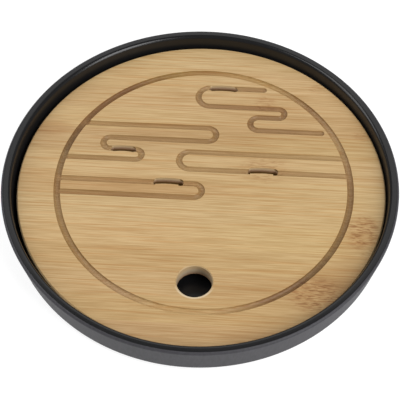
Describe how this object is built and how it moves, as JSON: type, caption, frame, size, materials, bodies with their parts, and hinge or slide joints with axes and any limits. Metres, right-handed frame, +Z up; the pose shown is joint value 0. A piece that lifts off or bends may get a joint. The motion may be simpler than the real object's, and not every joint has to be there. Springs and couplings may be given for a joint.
{
  "type": "tea tray",
  "caption": "Round gongfu tea tray: a bamboo board with cloud-line drainage channels, drain slots and a round lift hole lies loose in a black moulded water tray.",
  "frame": {"origin": "centre of the circle that the foot pads stand on, at table level", "axes": "+Z up out of the tray, +X along the bamboo's grain, -Y towards the lift hole"},
  "size_m": [0.26, 0.26, 0.03],
  "materials": {
    "tray_plastic": "satin",
    "bamboo": "satin",
    "pad_rubber": "matte"
  },
  "bodies": {
    "tray": {"tray_basin": "tray_plastic", "foot_pad_1": "pad_rubber", "foot_pad_2": "pad_rubber", "foot_pad_3": "pad_rubber", "foot_pad_4": "pad_rubber"},
    "board": {"board_strip_01": "bamboo", "board_strip_02": "bamboo", "board_strip_03": "bamboo", "board_strip_04": "bamboo", "board_strip_05": "bamboo", "board_strip_06": "bamboo", "board_strip_07": "bamboo", "board_strip_08": "bamboo", "board_strip_09": "bamboo", "board_strip_10": "bamboo", "board_strip_11": "bamboo", "board_strip_12": "bamboo", "board_strip_13": "bamboo"}
  },
  "joints": [
    {"name": "board_lift", "type": "slide", "parent": "tray", "child": "board", "axis": [0, 0, 1], "range_m": [0, 0.05]}
  ]
}
